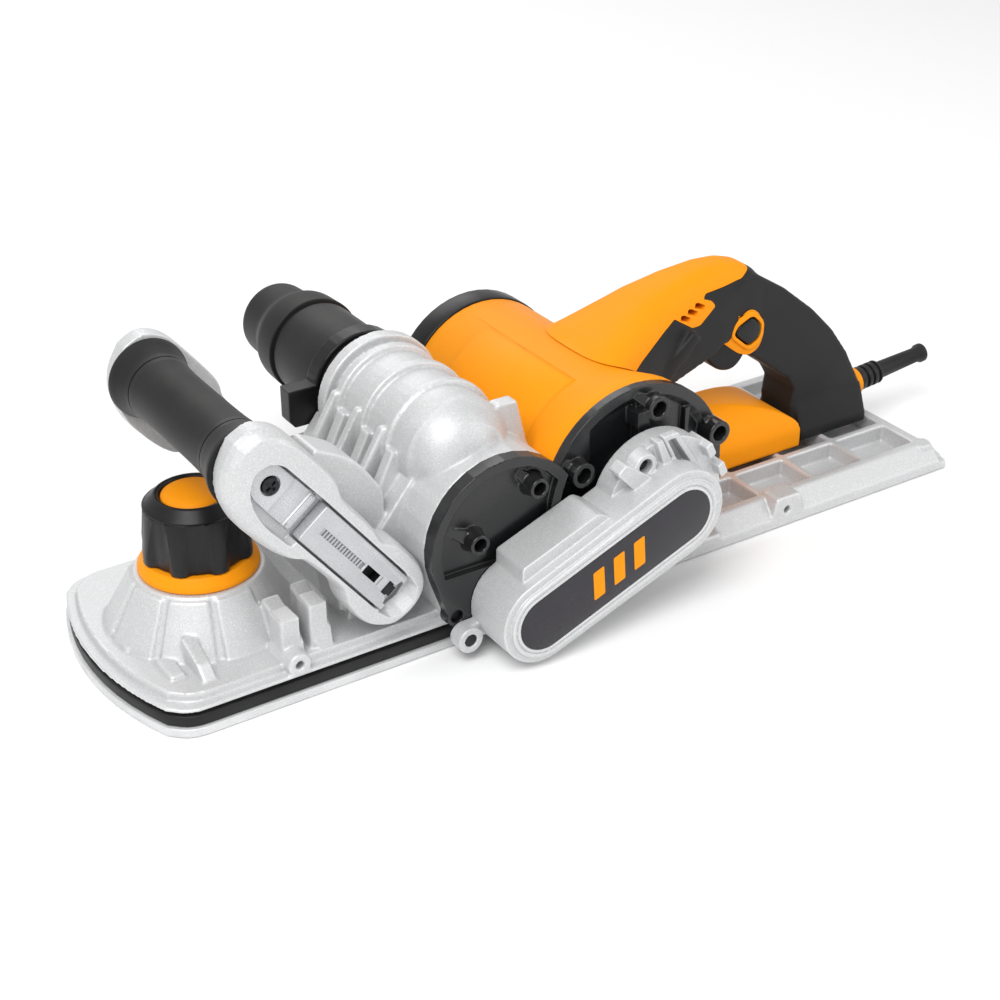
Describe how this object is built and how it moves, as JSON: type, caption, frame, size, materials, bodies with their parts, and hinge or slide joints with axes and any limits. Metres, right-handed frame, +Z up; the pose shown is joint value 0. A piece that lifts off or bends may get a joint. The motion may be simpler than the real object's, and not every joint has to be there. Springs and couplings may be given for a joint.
{
  "type": "electric hand planer",
  "caption": "Wide electric hand planer with bladed drum, belt cover, tilting front handle, depth knob, looped rear handle, side dust port and sliding front shoe.",
  "frame": {"origin": "centre of the footprint, on the plane of the soles", "axes": "+X from the front shoe (toe) to the rear handle (heel), +Y from the belt cover side to the dust port side, +Z up"},
  "size_m": [0.7204, 0.343, 0.1925],
  "materials": {
    "cast_aluminium": "fine shot-blasted casting",
    "machined_steel": "turned",
    "turned_aluminium": "turned",
    "blade_steel": "ground",
    "orange_plastic": "satin moulded",
    "black_plastic": "fine texture",
    "soft_rubber": "soft touch",
    "dark_label": "printed plate",
    "black_steel": "blackened",
    "copper_parts": "turned copper",
    "laminated_iron": "laminated with windings",
    "carbon": "carbon block"
  },
  "bodies": {
    "planer_body": {"rear_sole": "cast_aluminium", "front_body": "cast_aluminium", "depth_ring": "orange_plastic", "drum_bearing_far": "machined_steel", "drum_bearing_near": "machined_steel", "drive_belt": "soft_rubber", "field_core": "laminated_iron", "brush_top": "carbon", "brush_bottom": "carbon", "motor_bearing_far": "machined_steel", "motor_bearing_near": "machined_steel", "motor_housing": "orange_plastic", "motor_end_cap": "black_plastic", "drum_side_plate": "black_plastic", "plate_screw_1": "machined_steel", "plate_screw_2": "machined_steel", "plate_screw_3": "machined_steel", "motor_end_plate": "black_plastic", "belt_cover": "cast_aluminium", "cover_badge": "dark_label", "cover_screw_1": "machined_steel", "cover_screw_2": "machined_steel", "pivot_bolt_near": "machined_steel", "pivot_bolt_far": "machined_steel", "rear_body": "orange_plastic", "rear_handle": "black_plastic", "rear_foot": "orange_plastic", "trigger_bezel": "orange_plastic", "switch_block": "black_plastic", "boot_ring": "orange_plastic", "cord_boot": "soft_rubber", "dust_port": "black_plastic", "port_clamp": "black_plastic"},
    "front_sole": {"front_shoe": "cast_aluminium", "shoe_strip": "soft_rubber"},
    "depth_control": {"depth_knob": "black_plastic", "knob_cap": "orange_plastic", "depth_spindle": "machined_steel"},
    "front_handle": {"handle_arm_near": "cast_aluminium", "handle_arm_far": "cast_aluminium", "front_grip": "soft_rubber", "grip_rod": "machined_steel", "arm_plate": "cast_aluminium", "arm_screw": "black_steel"},
    "handle_lock": {"lock_lever": "cast_aluminium"},
    "cutter": {"cutter_drum": "turned_aluminium", "blade_1": "blade_steel", "blade_2": "blade_steel", "blade_3": "blade_steel", "blade_wedge_1": "blade_steel", "blade_wedge_2": "blade_steel", "blade_wedge_3": "blade_steel", "drum_pulley": "machined_steel"},
    "rotor": {"armature": "machined_steel", "commutator": "copper_parts", "cooling_fan": "black_plastic", "motor_pulley": "machined_steel"},
    "switch_trigger": {"trigger": "black_plastic"},
    "lock_off": {"lock_button": "black_plastic"}
  },
  "joints": [
    {"name": "shoe_depth", "type": "slide", "parent": "planer_body", "child": "front_sole", "axis": [0, 0, 1], "range_m": [0, 0.0025]},
    {"name": "knob_turn", "type": "hinge", "parent": "planer_body", "child": "depth_control", "pos_m": [-0.27918, -0.0245, 0.09], "axis": [0, 0, -1], "range_deg": [0, 150]},
    {"name": "handle_tilt", "type": "hinge", "parent": "planer_body", "child": "front_handle", "pos_m": [-0.19018, -0.0245, 0.057], "axis": [0, 1, 0], "range_deg": [-6, 16]},
    {"name": "lock_flip", "type": "hinge", "parent": "front_handle", "child": "handle_lock", "pos_m": [-0.18947, -0.11265, 0.05609], "axis": [0.7867, 0, 0.6173], "range_deg": [0, 85]},
    {"name": "drum_spin", "type": "hinge", "parent": "planer_body", "child": "cutter", "pos_m": [-0.10918, -0.0245, 0.034], "axis": [0, 1, 0], "continuous": true},
    {"name": "motor_spin", "type": "hinge", "parent": "planer_body", "child": "rotor", "pos_m": [0.00182, -0.0245, 0.077], "axis": [0, 1, 0], "continuous": true},
    {"name": "trigger_pull", "type": "hinge", "parent": "planer_body", "child": "switch_trigger", "pos_m": [0.12682, -0.0245, 0.116], "axis": [0, -1, 0], "range_deg": [0, 8], "stiffness_Nm_per_rad": 0.8, "springref_deg": -8.59},
    {"name": "lock_press", "type": "slide", "parent": "planer_body", "child": "lock_off", "axis": [0, 1, 0], "range_m": [0, 0.004], "stiffness_N_per_m": 450, "springref_m": -0.003}
  ],
  "couplings": [
    {"joint": "knob_turn", "follows": "shoe_depth", "rad_per_m": 1045},
    {"joint": "motor_spin", "follows": "drum_spin", "ratio": 1.125}
  ]
}
